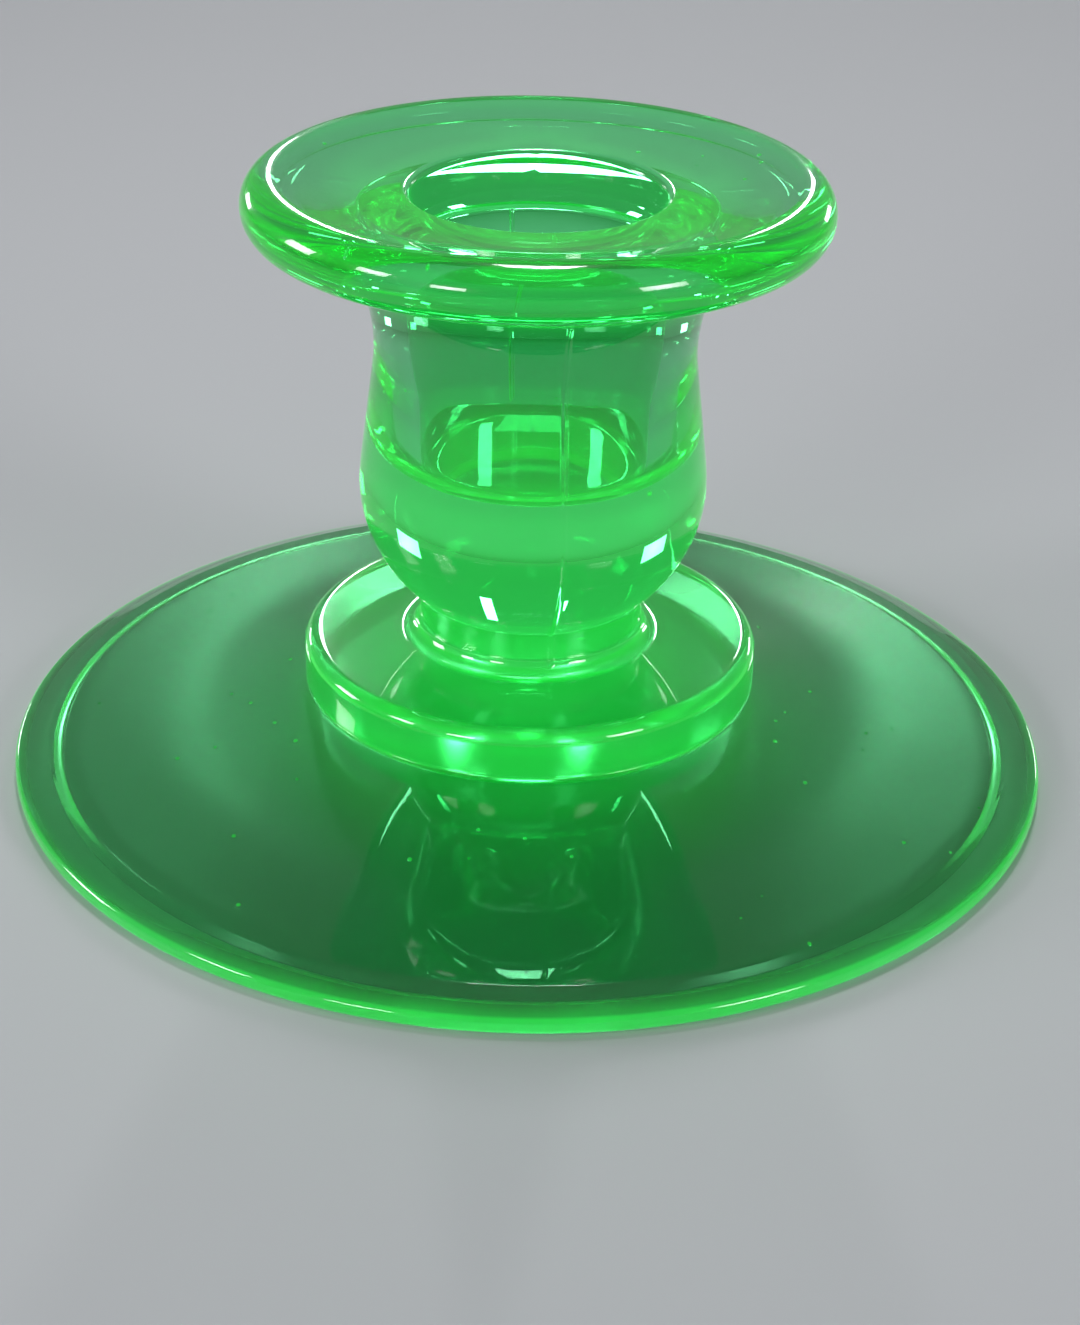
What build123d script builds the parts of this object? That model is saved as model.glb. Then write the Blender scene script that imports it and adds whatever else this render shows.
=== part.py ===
from build123d import *
import os

# Low candlestick in pressed glass: foot, collar, neck, socketed cup and drip rim.
# Millimetres, +Z up, origin on the table under the centre of the foot.
# Each section is a half outline in the XZ plane turned about Z, and sits on the one below.

# foot: a wide, low cone with a rounded edge, hollowed underneath
foot_radius = 50.8
edge_thickness = 1.6
bevel_width = 3.4               # sloping margin along the edge
bevel_height = 2.9
hub_radius = 20.5               # level seat under the collar
hub_height = 8.1
upper_sag = 0.35                # how far the upper surface hollows below a straight cone
rest_width = 3.2                # ground ring that stands on the table
hollow_step = 0.9               # short slope from the ground ring up into the hollow
hollow_height = 4.1
hollow_flat_radius = 19.0

# collar: a round disc on the middle of the foot
collar_radius = 22.15
collar_thickness = 4.8
collar_top_rounding = 1.3
collar_under_rounding = 2.2

# neck: a short stem, flared where it grows out of the collar
neck_radius = 10.8
neck_height = 4.4
neck_flare = 1.8

# cup: rounded bowl, full belly, narrow waist, widening under the rim
belly_radius = 16.6
belly_height = 28.4
belly_arc_radius = 22.0
side_lean = 7.05                # degrees from upright between belly and waist
side_length = 9.7
seat_radius = 17.1              # where cup and rim meet
seat_height = 50.4

# candle socket: blind bore with a tapered mouth
socket_radius = 11.3
socket_floor = 30.6
floor_rounding = 2.5
mouth_radius = 11.8
mouth_length = 3.6
lip_rounding = 0.9

# drip rim: thick round-edged flange, dished towards the socket
rim_radius = 27.1
bead_radius = 2.85
overall_height = 58.9
dish_depth = 1.7
dish_sag = 0.3

collar_top = hub_height + collar_thickness
neck_top = collar_top + neck_height
rest_outer = foot_radius - edge_thickness / 2
rest_inner = rest_outer - rest_width
bevel_top = foot_radius - bevel_width
bead_centre = rim_radius - bead_radius
lip_height = overall_height - dish_depth
mouth_base = lip_height - mouth_length

os.makedirs("parts", exist_ok=True)

with BuildPart() as foot:
    with BuildSketch(Plane.XZ):
        with BuildLine():
            Polyline(
                (0, hollow_height),
                (hollow_flat_radius, hollow_height),
                (rest_inner - hollow_step, hollow_step),
                (rest_inner, 0),
                (rest_outer, 0),
            )
            ThreePointArc(
                (rest_outer, 0),
                (foot_radius, edge_thickness / 2),
                (rest_outer, edge_thickness),
            )
            Line((rest_outer, edge_thickness), (bevel_top, bevel_height))
            # upper surface: a cone that hollows slightly on its way up to the hub
            ThreePointArc(
                (bevel_top, bevel_height),
                ((bevel_top + hub_radius) / 2, (bevel_height + hub_height) / 2 - upper_sag),
                (hub_radius, hub_height),
            )
            Polyline((hub_radius, hub_height), (0, hub_height), (0, hollow_height))
        make_face()
    revolve(axis=Axis.Z)
foot.part.label = "foot"
export_step(foot.part, "parts/foot.step")

with BuildPart() as foot_collar:
    with BuildSketch(Plane.XY.offset(hub_height)):
        Circle(collar_radius)
    extrude(amount=collar_thickness)
    fillet(foot_collar.faces().sort_by(Axis.Z)[-1].edges(), radius=collar_top_rounding)
    fillet(foot_collar.faces().sort_by(Axis.Z)[0].edges(), radius=collar_under_rounding)
foot_collar.part.label = "foot_collar"
export_step(foot_collar.part, "parts/foot_collar.step")

with BuildPart() as neck:
    with BuildSketch(Plane.XZ):
        with BuildLine():
            Line((0, collar_top), (neck_radius + neck_flare, collar_top))
            TangentArc(
                (neck_radius + neck_flare, collar_top),
                (neck_radius, collar_top + neck_flare),
                tangent=(-1, 0),
            )
            Polyline(
                (neck_radius, collar_top + neck_flare),
                (neck_radius, neck_top),
                (0, neck_top),
                (0, collar_top),
            )
        make_face()
    revolve(axis=Axis.Z)
neck.part.label = "neck"
export_step(neck.part, "parts/neck.step")

with BuildPart() as candle_cup:
    with BuildSketch(Plane.XZ):
        with BuildLine():
            TangentArc(
                (belly_radius, belly_height),
                (neck_radius, neck_top),
                tangent=(0, -1),
            )
            belly = JernArc(
                start=(belly_radius, belly_height),
                tangent=(0, 1),
                radius=belly_arc_radius,
                arc_size=side_lean,
            )
            side = PolarLine(belly @ 1, side_length, 90 + side_lean)
            waist = TangentArc(side @ 1, (seat_radius, seat_height), tangent=side % 1)
            Polyline(
                (seat_radius, seat_height),
                (0, seat_height),
                (0, neck_top),
                (neck_radius, neck_top),
            )
        make_face()
    revolve(axis=Axis.Z)
    with BuildSketch(Plane.XY.offset(socket_floor)):
        Circle(socket_radius)
    extrude(amount=seat_height - socket_floor, mode=Mode.SUBTRACT)
    floor_edge = candle_cup.edges().filter_by_position(Axis.Z, socket_floor - 0.1, socket_floor + 0.1)
    fillet(floor_edge, radius=floor_rounding)
candle_cup.part.label = "candle_cup"
export_step(candle_cup.part, "parts/candle_cup.step")

with BuildPart() as drip_rim:
    with BuildSketch(Plane.XZ):
        with BuildLine():
            Polyline(
                (mouth_radius, lip_height),
                (socket_radius, mouth_base),
                (socket_radius, seat_height),
                (seat_radius, seat_height),
                (bead_centre, overall_height - 2 * bead_radius),
            )
            ThreePointArc(
                (bead_centre, overall_height - 2 * bead_radius),
                (rim_radius, overall_height - bead_radius),
                (bead_centre, overall_height),
            )
            # upper surface: dished towards the socket
            ThreePointArc(
                (bead_centre, overall_height),
                ((bead_centre + mouth_radius) / 2, overall_height - dish_depth / 2 - dish_sag),
                (mouth_radius, lip_height),
            )
        profile = make_face()
        fillet(profile.vertices().group_by(Axis.X)[1], radius=lip_rounding)
    revolve(axis=Axis.Z)
drip_rim.part.label = "drip_rim"
export_step(drip_rim.part, "parts/drip_rim.step")
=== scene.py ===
import bpy
import bmesh
import random
from math import cos, degrees, hypot, pi, radians, sin, tan
from mathutils import Matrix, Vector
from mathutils.bvhtree import BVHTree


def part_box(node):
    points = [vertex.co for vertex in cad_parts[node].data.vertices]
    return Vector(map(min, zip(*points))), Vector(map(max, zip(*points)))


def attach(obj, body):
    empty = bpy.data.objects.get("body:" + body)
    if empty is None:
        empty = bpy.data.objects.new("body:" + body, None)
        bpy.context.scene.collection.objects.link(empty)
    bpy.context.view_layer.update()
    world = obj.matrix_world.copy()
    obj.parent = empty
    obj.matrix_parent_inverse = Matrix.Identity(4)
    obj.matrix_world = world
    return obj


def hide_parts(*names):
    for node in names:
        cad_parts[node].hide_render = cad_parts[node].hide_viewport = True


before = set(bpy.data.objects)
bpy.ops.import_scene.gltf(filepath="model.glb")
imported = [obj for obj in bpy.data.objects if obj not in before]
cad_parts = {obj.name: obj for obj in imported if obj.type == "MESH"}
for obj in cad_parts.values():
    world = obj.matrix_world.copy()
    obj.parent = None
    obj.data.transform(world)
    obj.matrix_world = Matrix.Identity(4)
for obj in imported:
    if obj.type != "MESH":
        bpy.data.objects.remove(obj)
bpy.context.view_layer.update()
scene = bpy.context.scene
mm = 0.001      # lengths below are written in millimetres
print("frame loaded:", ", ".join(sorted(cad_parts)))


def hexColour(text, alpha=1.0):
    # sRGB hex to the linear colour that a socket takes
    parts = [int(text[i:i + 2], 16) / 255 for i in (1, 3, 5)]
    return [p / 12.92 if p <= 0.04045 else ((p + 0.055) / 1.055) ** 2.4 for p in parts] + [alpha]


def addNode(tree, kind, settings=None, links=None):
    # settings and links are by the name or number of the node's socket, or the name of its setting
    node = tree.nodes.new(kind)
    for key, value in (settings or {}).items():
        if isinstance(key, int) or key in node.inputs:
            node.inputs[key].default_value = value
        else:
            setattr(node, key, value)
    for key, source in (links or {}).items():
        tree.links.new(source, node.inputs[key])
    return node


def addObject(name, bm, material, smooth=True):
    mesh = bpy.data.meshes.new(name)
    for face in bm.faces:
        face.smooth = smooth
    bm.to_mesh(mesh)
    bm.free()
    piece = bpy.data.objects.new(name, mesh)
    mesh.materials.append(material)
    scene.collection.objects.link(piece)
    return piece


def clamp(value):
    return min(max(value, 0), 1)


# sizes that the frame decides: x is a section's largest radius and z is the height of its top
foot, collar, neck, cup, rim = (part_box(node)[1] / mm for node in
                                ("foot", "foot_collar", "neck", "candle_cup", "drip_rim"))

# the rest of the glass, in millimetres and degrees
glassShape = {
    "edge": 1.6,                        # height of the foot's rounded edge
    "bevelWidth": 3.4,                  # flat bevel inside the edge
    "bevelHeight": 2.9,
    "slopeRadius": 34.0,                # where the foot's slope eases towards the collar
    "slopeHeight": 5.05,
    "slopeEnd": 21.4,
    "restWidth": 3.2,                   # ground ring that the foot rests on
    "hollowStep": 0.9,                  # hollow under the foot: a small step, a slope and a flat middle
    "hollowHeight": 4.1,
    "hollowFlat": 19.0,
    "neckRadius": 10.8,
    "bellyRadius": 16.6,                # widest part of the cup, between two heights above the neck
    "bellyLow": 4.03,
    "bellyHigh": 12.45,
    "waistRadius": 14.61,               # where the cup draws in, below its top
    "waistDrop": 4.53,
    "bead": 2.8,                        # rounded bead round the drip rim
    "beadDrop": 5.7,
    "beadWidth": 3.0,
    "dish": 1.7,                        # how far the rim's top is dished towards the mouth
    "dishRadius": 18.0,
    "mouthRadius": 11.8,                # mouth and straight wall of the candle socket
    "mouthLength": 3.6,
    "socketRadius": 11.3,
    "socketFloor": 30.6,
    "segmentTurn": 7,                   # one segment of a rounded corner turns about this much
    "mostSegments": 16,
    "longEdge": 3,                      # straight runs longer than this are cut into shorter ones
    "cutEdge": 1.5,
    "steps": 124,                       # steps of each half turn, outside the seams
    "seamSteps": 10,
    "seamTurn": 10.5,                   # mould seam: where it stands, the span drawn fine, and its ridge
    "seamSpan": 3.0,
    "seamHeight": 0.26,
    "seamWidth": 0.36,
    "seedDraw": 7,                      # another number places the air bubbles differently
    "seedSize": (0.1, 0.26),            # their radius
    # painted glow given to the bubbles
    "seedPaintedGlow": 0.6,
    "footSeeds": 60,
    "footSeedRadius": (24, 47),
    "footSeedDepth": (0.2, 0.9),        # share of the foot's thickness, above a skin without bubbles
    "footSkin": 0.5,
    "wallSeeds": 14,
    "wallSeedRadius": (12.6, 14.2),
    "wallSeedTop": 48,
    "rimSeeds": 14,
    "rimSeedRadius": (14, 25),
    "rimSeedHeight": (54.6, 56.2),
    "paintedGlowFrom": 3.4,                    # depth of glass at which the painted glow starts
    "paintedGlowTo": 26.0,                     # depth at which the painted glow is full
    "paintedGlowTilt": 0.6,                    # sideways lean of the four outer rays that feel the depth
    "edgePaintedGlow": 0.55,                   # the foot's edge has a painted glow too: its width, of which the inner part fades out
    "edgePaintedGlowFade": 0.3,                # fades out
    "hollowMatte": 0.5,                 # the hollow is half as matte as the ground ring
}


def restRing(g):
    # inner and outer radius of the ring that the foot rests on
    outer = foot.x - g["edge"] / 2
    return outer - g["restWidth"], outer


def outlineCorners(g):
    # radius, height and rounding of each corner: from the middle of the hollow underneath, out and up
    # round the outside, down into the socket, to the middle of its floor
    ringInner = restRing(g)[0]
    lip = rim.z - g["dish"]
    return [
        (0, g["hollowHeight"], 0),
        (g["hollowFlat"], g["hollowHeight"], 6),
        (ringInner - g["hollowStep"], g["hollowStep"], 1.0),
        (ringInner, 0, 0.2),
        (foot.x, 0, 0.78),
        (foot.x, g["edge"], 0.7),
        (foot.x - g["bevelWidth"], g["bevelHeight"], 1.0),
        (g["slopeRadius"], g["slopeHeight"], 80),
        (g["slopeEnd"], foot.z - 0.15, 0.4),
        (collar.x, foot.z + 0.3, 1.0),
        (collar.x, collar.z, 1.5),
        (g["neckRadius"], collar.z, 1.9),
        (g["neckRadius"], neck.z, 0.3),
        (g["bellyRadius"], neck.z + g["bellyLow"], 13.0),
        (g["bellyRadius"], neck.z + g["bellyHigh"], 21.0),
        (g["waistRadius"], cup.z - g["waistDrop"], 14.8),
        (cup.x, cup.z, 0.5),
        (rim.x - g["beadWidth"], rim.z - g["beadDrop"] - 0.05, 0),
        (rim.x, rim.z - g["beadDrop"], g["bead"]),
        (rim.x, rim.z, g["bead"]),
        (rim.x - g["beadWidth"] - 0.2, rim.z - 0.03, 0.8),
        (g["dishRadius"], lip + 0.25, 40),
        (g["mouthRadius"], lip, 0.9),
        (g["socketRadius"], lip - g["mouthLength"], 0.6),
        (g["socketRadius"], g["socketFloor"], 2.5),
        (0, g["socketFloor"], 0),
    ]


def drawOutline(bm, g):
    corners = outlineCorners(g)
    verts = [bm.verts.new((r * mm, 0, z * mm)) for r, z, rounding in corners]
    for a, b in zip(verts[:-1], verts[1:]):
        bm.edges.new((a, b))
    for i in range(1, len(corners) - 1):
        before, here, after = (Vector(c[:2]) for c in corners[i - 1:i + 2])
        turn = (here - before).angle(after - here)
        reach = corners[i][2] * tan(turn / 2)
        if reach:
            segments = min(g["mostSegments"], int(degrees(turn) / g["segmentTurn"]) + 3)
            bmesh.ops.bevel(bm, geom=[verts[i]], offset=reach * mm, offset_type="OFFSET",
                            affect="VERTICES", segments=segments, profile=0.5, material=-1)
    for edge in [e for e in bm.edges if e.calc_length() > g["longEdge"] * mm]:
        cuts = int(edge.calc_length() / (g["cutEdge"] * mm))
        bmesh.ops.subdivide_edges(bm, edges=[edge], cuts=cuts)


def raiseSeams(bm, g):
    # two low ridges where the halves of the mould met, on the outside from collar to rim; the back one
    # stops at the socket's floor, below which the thick glass would bend it into a loop
    front = Vector((sin(radians(g["seamTurn"])), -cos(radians(g["seamTurn"])), 0))
    for v in bm.verts:
        r, z = hypot(v.co.x, v.co.y) / mm, v.co.z / mm
        inSocket = z > g["socketFloor"] - 1 and r < g["socketRadius"] + 1
        if inSocket or r < g["neckRadius"] - 0.5 or not collar.z + 1 < z < cup.z:
            continue
        for side in (1, -1):
            seam = front * side
            across = abs(v.co.cross(seam).z) / mm
            if v.co.dot(seam) > 0 and across < g["seamWidth"] and (side > 0 or z > g["socketFloor"]):
                v.co += v.normal * g["seamHeight"] * mm * (0.5 + 0.5 * cos(pi * across / g["seamWidth"]))


def addSeeds(bm, g, dice):
    # small air bubbles: closed shells inside the glass that face their own air, each given a painted glow
    paintedGlow = bm.verts.layers.float["paintedGlow"]
    topSlope, hollowSlope = 0.19, 0.119     # rise of the foot's two faces for each millimetre inwards
    topStart = foot.x - g["bevelWidth"]
    hollowStart = restRing(g)[0] - g["hollowStep"]
    places = []
    for i in range(g["footSeeds"]):
        r = dice.uniform(*g["footSeedRadius"])
        top = g["bevelHeight"] + (topStart - r) * topSlope - 0.3    # a little below the top face
        low = g["hollowStep"] + (hollowStart - r) * hollowSlope
        depth = (top - low - 2 * g["footSkin"]) * dice.uniform(*g["footSeedDepth"])
        places.append((r, low + g["footSkin"] + depth))
    for i in range(g["wallSeeds"]):
        r = dice.uniform(*g["wallSeedRadius"])
        places.append((r, dice.uniform(g["socketFloor"], g["wallSeedTop"])))
    for i in range(g["rimSeeds"]):
        r = dice.uniform(*g["rimSeedRadius"])
        places.append((r, dice.uniform(*g["rimSeedHeight"])))
    for r, z in places:
        turn = dice.uniform(0, 2 * pi)
        spot = Matrix.Translation((r * cos(turn) * mm, r * sin(turn) * mm, z * mm))
        made = bmesh.ops.create_icosphere(bm, subdivisions=2, radius=dice.uniform(*g["seedSize"]) * mm,
                                          matrix=spot)
        bmesh.ops.reverse_faces(bm, faces=list({f for v in made["verts"] for f in v.link_faces}))
        for v in made["verts"]:
            v[paintedGlow] = g["seedPaintedGlow"]
    print("bubbles:", len(places))


def markPaintedGlow(bm, g):
    # painted glow, emission that stands in for uranium glass's green fluorescence: each spot is marked with
    # how much glass lies behind it, and the foot's thin edge is marked most of all
    layer = bm.verts.layers.float.new("paintedGlow")
    tree = BVHTree.FromBMesh(bm)
    justInside = 0.01 * mm
    for v in bm.verts:
        inward = -v.normal
        side = inward.orthogonal().normalized() * g["paintedGlowTilt"]
        turned = [Matrix.Rotation(radians(a), 3, inward) @ side for a in (0, 90, 180, 270)]
        rays = [inward] + [(inward + t).normalized() for t in turned]
        depth = 0
        for ray in rays:
            reach = tree.ray_cast(v.co + ray * justInside, ray)[3] or 0
            depth += clamp((reach / mm - g["paintedGlowFrom"]) / (g["paintedGlowTo"] - g["paintedGlowFrom"])) / len(rays)
        r, z = hypot(v.co.x, v.co.y) / mm, v.co.z / mm
        paintedEdgeGlow = clamp((r - foot.x + g["edgePaintedGlow"]) / g["edgePaintedGlowFade"]) if z < g["bevelHeight"] else 0
        v[layer] = max(depth, paintedEdgeGlow)


def markMatte(bm, g):
    # the ring that it rests on was ground flat, and the hollow inside the ring kept the satin of the
    # iron mould
    layer = bm.verts.layers.float.new("matte")
    ringInner, ringOuter = restRing(g)
    for v in bm.verts:
        r, z = hypot(v.co.x, v.co.y) / mm, v.co.z / mm
        if z < 0.02 and ringInner < r < ringOuter:
            v[layer] = 1
        elif r < ringInner and z < g["hollowHeight"] + 0.05 and v.normal.z < 0:
            v[layer] = g["hollowMatte"]


def buildGlass(g):
    bm = bmesh.new()
    drawOutline(bm, g)
    # turned in four spans, fine only where the two mould seams stand
    span = radians(g["seamSpan"])
    first = radians(g["seamTurn"]) - pi / 2 - span / 2
    bmesh.ops.rotate(bm, verts=bm.verts, cent=(0, 0, 0), matrix=Matrix.Rotation(first, 3, "Z"))
    last = bm.verts[:] + bm.edges[:]
    for angle, steps in 2 * ((span, g["seamSteps"]), (pi - span, g["steps"])):
        last = bmesh.ops.spin(bm, geom=last, cent=(0, 0, 0), axis=(0, 0, 1), angle=angle,
                              steps=steps)["geom_last"]
    bmesh.ops.remove_doubles(bm, verts=bm.verts, dist=0.002 * mm)
    bmesh.ops.recalc_face_normals(bm, faces=bm.faces)
    bm.normal_update()
    raiseSeams(bm, g)
    markPaintedGlow(bm, g)
    markMatte(bm, g)
    addSeeds(bm, g, random.Random(g["seedDraw"]))
    print("glass:", len(bm.verts), "vertices, closed:", all(e.is_manifold for e in bm.edges),
          "volume", round(bm.calc_volume() * 1e6, 2), "cm3")
    return bm


# pressed soda-lime glass with a little uranium in it, fire-polished: clear and wet to the eye, green all
# through, darker where light has crossed more of it, and with a painted glow, emission standing in for its
# fluorescence, where it is thick
glassLook = {
    "tint": "#80DAA8",
    "ior": 1.52,
    "depthColour": "#95EDBC",       # what a long way through the glass leaves of white light
    "depthDensity": 60.0,
    # colour and strength of the painted glow
    "paintedGlowColour": "#38FF60",
    "paintedGlowLeast": 0.01,
    "paintedGlowGain": 0.3,
    "swellSize": 11.111,            # broad swell of a pressed surface that was melted smooth again, in mm
    "swellHeight": 0.04,
    "groundRoughness": 0.36,
    "markSize": 18.182,             # faint finger marks, in mm
    "markFrom": 0.56,
    "markTo": 0.72,
    "markRoughness": 0.05,
    "film": 0.2,                    # a thin film of handling, and how dull it is
    "filmRoughness": 0.2,
}


def uraniumGlass(k):
    mat = bpy.data.materials.new("uraniumGlassFirePolished")
    mat.use_nodes = True
    tree = mat.node_tree
    tree.nodes.clear()
    place = addNode(tree, "ShaderNodeTexCoord").outputs["Object"]
    out = addNode(tree, "ShaderNodeOutputMaterial")
    swell = addNode(tree, "ShaderNodeTexNoise", {"Scale": 1 / (k["swellSize"] * mm), "Detail": 1.0},
                    {"Vector": place})
    bump = addNode(tree, "ShaderNodeBump", {"Distance": k["swellHeight"] * mm},
                   {"Height": swell.outputs[0]})
    # ground and satin stretches scatter light; elsewhere only finger marks dull the polish
    matte = addNode(tree, "ShaderNodeAttribute", {"attribute_name": "matte"})
    satin = addNode(tree, "ShaderNodeMath", {"operation": "MULTIPLY", 1: k["groundRoughness"]},
                    {0: matte.outputs["Fac"]})
    marks = addNode(tree, "ShaderNodeTexNoise", {"Scale": 1 / (k["markSize"] * mm), "Detail": 4.0},
                    {"Vector": place})
    dull = addNode(tree, "ShaderNodeMapRange",
                   {"From Min": k["markFrom"], "From Max": k["markTo"], "To Max": k["markRoughness"]},
                   {"Value": marks.outputs[0]})
    rough = addNode(tree, "ShaderNodeMath", {"operation": "MAXIMUM"},
                    {0: satin.outputs[0], 1: dull.outputs[0]})
    # painted glow: emission that follows the depth of glass marked on the mesh
    paintedGlow = addNode(tree, "ShaderNodeAttribute", {"attribute_name": "paintedGlow"})
    paintedGlowStrength = addNode(tree, "ShaderNodeMath",
                       {"operation": "MULTIPLY_ADD", 1: k["paintedGlowGain"], 2: k["paintedGlowLeast"]},
                       {0: paintedGlow.outputs["Fac"]})
    shine = addNode(tree, "ShaderNodeBsdfPrincipled", {
        "Base Color": hexColour(k["tint"]), "IOR": k["ior"], "Transmission Weight": 1.0,
        "Coat Weight": k["film"], "Coat Roughness": k["filmRoughness"],
        "Emission Color": hexColour(k["paintedGlowColour"]),
    }, {"Normal": bump.outputs[0], "Roughness": rough.outputs[0], "Emission Strength": paintedGlowStrength.outputs[0]})
    tree.links.new(shine.outputs[0], out.inputs["Surface"])
    absorb = addNode(tree, "ShaderNodeVolumeAbsorption",
                     {"Color": hexColour(k["depthColour"]), "Density": k["depthDensity"]})
    tree.links.new(absorb.outputs[0], out.inputs["Volume"])
    return mat


glass = addObject("glassBody", buildGlass(glassShape), uraniumGlass(glassLook))
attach(glass, "root")
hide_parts("foot", "foot_collar", "neck", "candle_cup", "drip_rim")

studio = {
    "floorRadius": 3.0,             # metres
    "floorGap": 0.05,               # millimetres below the glass, so that the two faces don't share a plane
    "floorColour": "#C2C2C6",
    "floorRoughness": 0.9,
    "worldColour": "#F4F6FA",
    "worldStrength": 0.24,
    "distance": 1.6,                # from the middle of the glass to each lamp, in metres
    "lampColour": "#FBFFFE",
    # lamps: bearing from straight behind, rise, width, height and spread, all in degrees, and brightness
    "lamps": {
        "backHighLeft": (-5, 66, 5, 12, 120, 24),
        "backHighRight": (6, 66, 5, 12, 120, 24),
        "backLowLeft": (-9, 22, 2.6, 14, 30, 38),
        "backLowRight": (12, 22, 3.2, 14, 30, 38),
        "edgeLeft": (-36, 4, 10, 6, 30, 14),
        "edgeRight": (36, 4, 10, 6, 30, 14),
        "left": (-80, 14, 15, 14, 30, 22),
        "frontLeft": (-116, 20, 13, 11, 30, 22),
        "lowFrontLeft": (-148, 14, 13, 9, 30, 22),
        "frontRight": (132, 16, 18, 13, 30, 22),
    },
}


def addFloor(s):
    # uncoated paper: pale, even and without gloss
    paper = bpy.data.materials.new("matteFloorPaper")
    paper.use_nodes = True
    shader = paper.node_tree.nodes["Principled BSDF"]
    shader.inputs["Base Color"].default_value = hexColour(s["floorColour"])
    shader.inputs["Roughness"].default_value = s["floorRoughness"]
    bm = bmesh.new()
    bmesh.ops.create_circle(bm, cap_ends=True, segments=96, radius=s["floorRadius"],
                            matrix=Matrix.Translation((0, 0, -s["floorGap"] * mm)))
    addObject("floor", bm, paper, smooth=False)


def addLights(s):
    scene.world = bpy.data.worlds.new("softRoom")
    scene.world.use_nodes = True
    sky = scene.world.node_tree.nodes["Background"]
    sky.inputs["Color"].default_value = hexColour(s["worldColour"])
    sky.inputs["Strength"].default_value = s["worldStrength"]
    middle = Vector((0, 0, cup.z / 2 * mm))
    for name, (bearing, rise, wide, high, spread, brightness) in s["lamps"].items():
        data = bpy.data.lights.new(name, "AREA")
        data.shape = "RECTANGLE"
        data.color = hexColour(s["lampColour"])[:3]
        data.size, data.size_y = (2 * s["distance"] * tan(radians(angle / 2)) for angle in (wide, high))
        data.spread = radians(spread)
        # a narrow spread packs a lamp's power into fewer directions, so the power is cut to match
        half = data.spread / 2
        data.energy = brightness * pi * data.size * data.size_y * (1 - half / tan(half))
        lamp = bpy.data.objects.new(name, data)
        a, e = radians(bearing), radians(rise)
        lamp.location = middle + s["distance"] * Vector((sin(a) * cos(e), cos(a) * cos(e), sin(e)))
        lamp.rotation_euler = (middle - lamp.location).to_track_quat("-Z", "Y").to_euler()
        scene.collection.objects.link(lamp)
    print("studio:", len(s["lamps"]), "lamps")


addFloor(studio)
addLights(studio)

# place and lens in millimetres, angles in degrees
view = {"side": 1.05, "back": 227.9, "height": 129.7, "lens": 70.5, "lookDown": 27.99, "lean": 1.26}


def addCamera(v):
    data = bpy.data.cameras.new("camera")
    data.lens = v["lens"]
    data.clip_start = 10 * mm
    camera = bpy.data.objects.new("camera", data)
    camera.location = (v["side"] * mm, -v["back"] * mm, v["height"] * mm)
    tilt = Matrix.Rotation(pi / 2 - radians(v["lookDown"]), 3, "X")
    camera.rotation_euler = (tilt @ Matrix.Rotation(radians(v["lean"]), 3, "Z")).to_euler()
    scene.collection.objects.link(camera)
    scene.camera = camera
    print("camera:", v["lens"], "mm lens")


addCamera(view)
scene.view_settings.view_transform = "Standard"
# light crosses many faces of glass before it comes out
scene.cycles.max_bounces = 32
scene.cycles.transmission_bounces = 32
scene.cycles.glossy_bounces = 16
